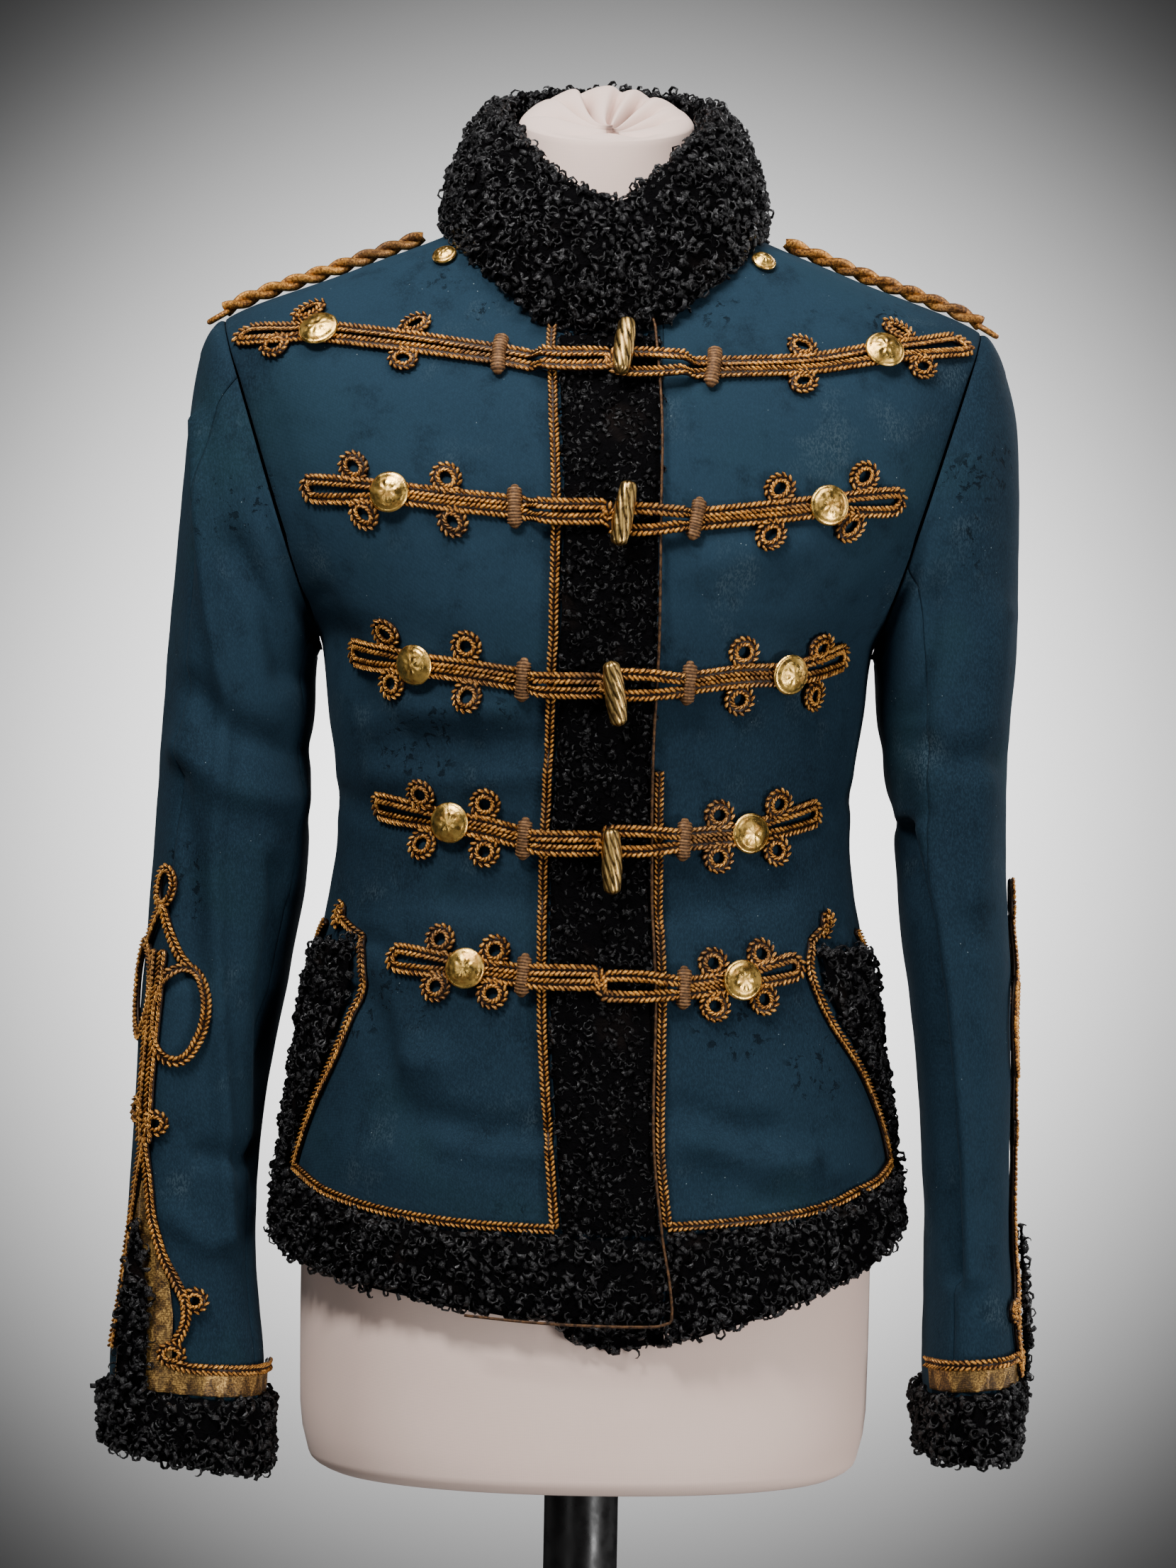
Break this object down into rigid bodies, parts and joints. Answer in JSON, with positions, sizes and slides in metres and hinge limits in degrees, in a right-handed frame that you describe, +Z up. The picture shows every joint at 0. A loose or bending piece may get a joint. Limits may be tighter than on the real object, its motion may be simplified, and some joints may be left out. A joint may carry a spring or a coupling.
{
  "type": "hussar pelisse on a dress form",
  "caption": "Short fur-trimmed hussar pelisse with gold frogging and toggles, worn on a limbless dress form on a pole stand.",
  "frame": {"origin": "on the floor, at the centre of the stand's round foot", "axes": "+Z up, the coat faces -Y, the wearer's left is +X"},
  "size_m": [0.5392, 0.38, 1.5156],
  "materials": {
    "blue_cloth": "matt felted woollen cloth, dark blue with a worn nap",
    "black_fur": "tightly curled black lambskin fur",
    "gold_braid": "chain braid of tarnished gold thread",
    "gold_lace": "flat woven gold lace, tarnished",
    "gilt_metal": "polished gilt with a pressed relief",
    "aged_brass": "worn brass with spiral flutes",
    "form_cover": "plain cream woven cover, drawn over the form",
    "black_metal": "satin black paint"
  },
  "bodies": {
    "root": {"form_torso": "form_cover", "stand_pole": "black_metal", "stand_base": "black_metal", "front_right": "blue_cloth", "front_left": "blue_cloth", "back": "blue_cloth", "side_body_right": "blue_cloth", "side_body_left": "blue_cloth", "sleeve_right_upper": "blue_cloth", "sleeve_right_under": "blue_cloth", "sleeve_left_upper": "blue_cloth", "sleeve_left_under": "blue_cloth", "collar_fur": "black_fur", "front_fur_right": "black_fur", "front_fur_left": "black_fur", "hem_fur_right": "black_fur", "hem_fur_left": "black_fur", "hem_fur_back": "black_fur", "side_fur_right": "black_fur", "side_fur_left": "black_fur", "cuff_fur_right": "black_fur", "cuff_fur_left": "black_fur", "slit_fur_right": "black_fur", "slit_fur_left": "black_fur", "cuff_lace_right": "gold_lace", "cuff_lace_left": "gold_lace", "edge_cord_right": "gold_braid", "edge_cord_left": "gold_braid", "edge_cord_back": "gold_braid", "cuff_knot_right": "gold_braid", "cuff_knot_left": "gold_braid", "shoulder_cord_right": "gold_braid", "shoulder_cord_left": "gold_braid", "frog_1_right": "gold_braid", "frog_1_left": "gold_braid", "frog_2_right": "gold_braid", "frog_2_left": "gold_braid", "frog_3_right": "gold_braid", "frog_3_left": "gold_braid", "frog_4_right": "gold_braid", "frog_4_left": "gold_braid", "frog_5_right": "gold_braid", "frog_5_left": "gold_braid", "button_1_right": "gilt_metal", "button_1_left": "gilt_metal", "button_2_right": "gilt_metal", "button_2_left": "gilt_metal", "button_3_right": "gilt_metal", "button_3_left": "gilt_metal", "button_4_right": "gilt_metal", "button_4_left": "gilt_metal", "button_5_right": "gilt_metal", "button_5_left": "gilt_metal", "shoulder_button_right": "gilt_metal", "shoulder_button_left": "gilt_metal", "toggle_1": "aged_brass", "toggle_2": "aged_brass", "toggle_3": "aged_brass", "toggle_4": "aged_brass"}
  },
  "joints": []
}
